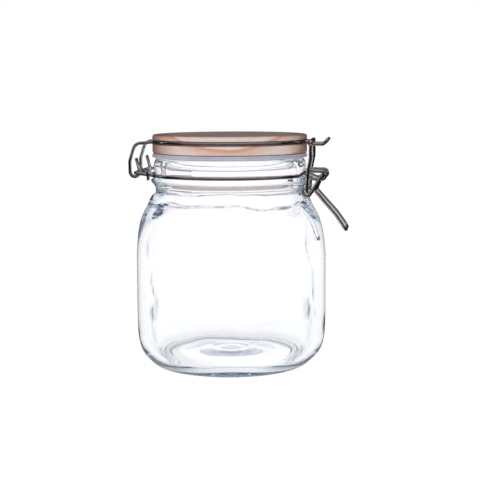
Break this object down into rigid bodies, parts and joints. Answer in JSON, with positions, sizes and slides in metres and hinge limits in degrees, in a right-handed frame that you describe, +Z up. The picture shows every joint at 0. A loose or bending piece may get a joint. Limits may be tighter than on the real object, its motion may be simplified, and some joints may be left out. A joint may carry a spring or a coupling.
{
  "type": "bail clamp jar",
  "caption": "Square glass storage jar with a round neck, a wooden lid on a wire hinge, a silicone seal and an over-centre wire clamp.",
  "frame": {"origin": "on the surface the jar stands on, under the middle of the whole object's box; the jar's own axis is 5.58 mm to the -X side of it, because the clamp stands out further than the hinge", "axes": "+Z up, +X towards the clamp, -X towards the hinge, +Y along the hinge's side of the square body; the wire cage sits turned 8.8 degrees clockwise, seen from above, on the round neck"},
  "size_m": [0.1345, 0.1132, 0.1414],
  "materials": {
    "clear_glass": "clear, polished",
    "pine": "fine sanded, unvarnished",
    "silicone": "translucent, satin",
    "bright_wire": "bright drawn"
  },
  "bodies": {
    "jar": {"glass_jar": "clear_glass", "neck_wire": "bright_wire"},
    "lid": {"wooden_lid": "pine", "lid_seal": "silicone", "lid_wire": "bright_wire"},
    "lever": {"clamp_lever": "bright_wire"},
    "link": {"clamp_link": "bright_wire"}
  },
  "joints": [
    {"name": "lid_hinge", "type": "hinge", "parent": "jar", "child": "lid", "pos_m": [-0.06013, 0.00844, 0.1188], "axis": [-0.153, -0.9882, 0], "range_deg": [0, 204]},
    {"name": "lever_pivot", "type": "hinge", "parent": "jar", "child": "lever", "pos_m": [0.05045, -0.00867, 0.1172], "axis": [-0.153, -0.9882, 0], "range_deg": [0, 140], "deforming": ["clamp_link"]},
    {"name": "link_swing", "type": "hinge", "parent": "lever", "child": "link", "pos_m": [0.04175, -0.00733, 0.107], "axis": [-0.153, -0.9882, 0], "range_deg": [-122, 0]}
  ],
  "couplings": [
    {"joint": "link_swing", "follows": "lever_pivot", "ratio": -0.871}
  ]
}
